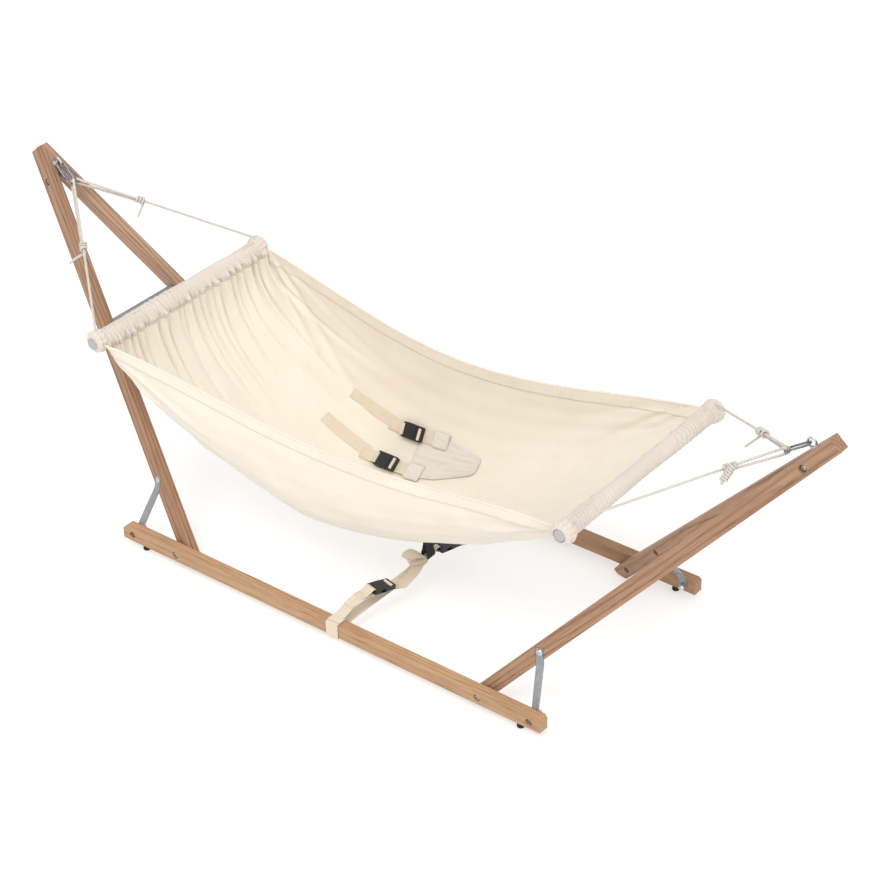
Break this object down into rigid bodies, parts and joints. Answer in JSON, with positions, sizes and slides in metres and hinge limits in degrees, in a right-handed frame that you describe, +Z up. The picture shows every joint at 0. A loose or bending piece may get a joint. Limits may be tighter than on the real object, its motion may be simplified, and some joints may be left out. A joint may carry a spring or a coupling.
{
  "type": "baby hammock on a wooden stand",
  "caption": "Cotton baby hammock hung by ropes and snap hooks between leaning wooden A-frames on floor rails, with a harness and a tether strap",
  "frame": {"origin": "on the floor under the middle of the two rails", "axes": "+X from the head end to the foot end, +Z up, +Y from the left rail to the right rail"},
  "size_m": [1.5694, 0.4472, 0.5565],
  "materials": {
    "timber": "oiled ash, open grain",
    "canvas": "unbleached cotton canvas, matt",
    "cotton_rope": "twisted cotton",
    "cotton_webbing": "woven cotton webbing",
    "black_plastic": "moulded, satin",
    "black_webbing": "woven",
    "black_rubber": "matt",
    "grey_plastic": "satin",
    "galvanised_steel": "galvanised, mottled",
    "grey_steel": "grey, satin",
    "zinc_steel": "zinc plated, bright"
  },
  "bodies": {
    "stand": {"rail_left": "timber", "rail_right": "timber", "rubber_feet": "black_rubber", "foot_screws": "zinc_steel", "head_leg_left": "timber", "head_leg_right": "timber", "foot_leg_left": "timber", "foot_leg_right": "timber", "head_cross_tube": "grey_steel", "rail_end_bolts": "zinc_steel", "rail_end_nuts": "zinc_steel", "pivot_bolts": "zinc_steel", "pivot_nuts": "zinc_steel", "pivot_washers": "zinc_steel", "strut_head_left": "galvanised_steel", "strut_head_right": "galvanised_steel", "strut_foot_left": "galvanised_steel", "strut_foot_right": "galvanised_steel", "strut_bolts": "zinc_steel", "strut_nuts": "zinc_steel", "apex_bolts": "zinc_steel", "apex_nuts": "zinc_steel", "eye_bolts": "zinc_steel", "tether_bands": "cotton_webbing", "tether_strap_left": "cotton_webbing", "tether_socket_left": "black_plastic", "tether_link_left": "cotton_webbing", "tether_strap_right": "cotton_webbing"},
    "bed": {"hook_head_left": "zinc_steel", "hook_head_right": "zinc_steel", "hook_foot": "zinc_steel", "hook_pins": "zinc_steel", "head_bar": "timber", "foot_bar": "timber", "bar_end_caps": "grey_plastic", "head_channel": "canvas", "foot_channel": "canvas", "bed_cloth": "canvas", "rope_head_left": "cotton_rope", "rope_head_right": "cotton_rope", "rope_foot_left": "cotton_rope", "rope_foot_right": "cotton_rope", "harness_apron": "canvas", "harness_straps": "cotton_webbing", "harness_sockets": "black_plastic", "tether_loop": "black_webbing", "tether_socket_right": "black_plastic", "tether_stub": "cotton_webbing"},
    "gate_head_left": {"gate_head_left": "zinc_steel"},
    "gate_head_right": {"gate_head_right": "zinc_steel"},
    "gate_foot": {"gate_foot": "zinc_steel"},
    "plug_a": {"harness_plug_a": "black_plastic"},
    "plug_b": {"harness_plug_b": "black_plastic"},
    "plug_left": {"tether_plug_left": "black_plastic"},
    "plug_right": {"tether_plug_right": "black_plastic"}
  },
  "joints": [
    {"name": "bed_sway", "type": "hinge", "parent": "stand", "child": "bed", "pos_m": [0, 0, 0.53121], "axis": [1, 0, 0], "range_deg": [-3, 3], "deforming": ["tether_link_left", "tether_strap_right"]},
    {"name": "gate_head_left_open", "type": "hinge", "parent": "bed", "child": "gate_head_left", "pos_m": [-0.70363, -0.01317, 0.51425], "axis": [-0.5736, 0, -0.8192], "range_deg": [0, 20], "stiffness_Nm_per_rad": 0.01, "springref_deg": -8.59},
    {"name": "gate_head_right_open", "type": "hinge", "parent": "bed", "child": "gate_head_right", "pos_m": [-0.70592, 0.01317, 0.51097], "axis": [0.5736, 0, 0.8192], "range_deg": [0, 20], "stiffness_Nm_per_rad": 0.01, "springref_deg": -8.59},
    {"name": "gate_foot_open", "type": "hinge", "parent": "bed", "child": "gate_foot", "pos_m": [0.70267, -0.0072, 0.51114], "axis": [-0.5736, 0, 0.8192], "range_deg": [0, 20], "stiffness_Nm_per_rad": 0.01, "springref_deg": -8.59},
    {"name": "plug_a_release", "type": "slide", "parent": "bed", "child": "plug_a", "axis": [0.9995, -0.0095, 0.0307], "range_m": [0, 0.02]},
    {"name": "plug_b_release", "type": "slide", "parent": "bed", "child": "plug_b", "axis": [0.9988, -0.0245, 0.0433], "range_m": [0, 0.02]},
    {"name": "plug_left_release", "type": "slide", "parent": "stand", "child": "plug_left", "axis": [0.2308, 0.956, -0.1813], "range_m": [0, 0.02], "deforming": ["tether_link_left"]},
    {"name": "plug_right_release", "type": "slide", "parent": "bed", "child": "plug_right", "axis": [0.2306, 0.9687, -0.0923], "range_m": [0, 0.02], "deforming": ["tether_strap_right"]}
  ]
}
